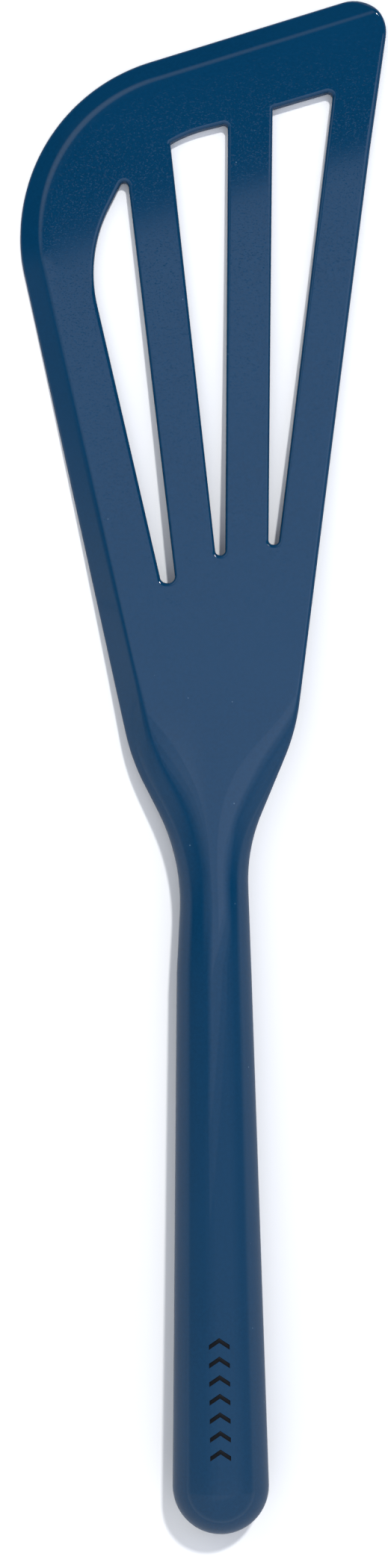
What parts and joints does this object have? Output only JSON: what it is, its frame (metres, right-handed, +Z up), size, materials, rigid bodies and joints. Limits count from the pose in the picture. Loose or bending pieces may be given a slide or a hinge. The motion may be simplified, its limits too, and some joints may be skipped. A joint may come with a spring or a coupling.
{
  "type": "slotted turner spatula",
  "caption": "Slotted silicone kitchen turner with a slanted, bevelled blade and a round tapered handle, moulded over a riveted steel plate and nylon core.",
  "frame": {"origin": "on the table, below the handle's axis, half way along the turner: the bottom centre of its bounding box", "axes": "+Y along the handle towards the blade, +X to the right with the blade pointing away, +Z up from the table; the long side with the bevel is at -X"},
  "size_m": [0.0798, 0.3299, 0.0206],
  "materials": {
    "silicone": "satin",
    "steel": "brushed",
    "nylon": "matte",
    "ink": "matte"
  },
  "bodies": {
    "root": {"silicone_skin": "silicone", "blade_plate": "steel", "upper_handle_core": "nylon", "lower_handle_core": "nylon", "front_rivet": "steel", "middle_rivet": "steel", "rear_rivet": "steel", "printed_mark": "ink"}
  },
  "joints": []
}
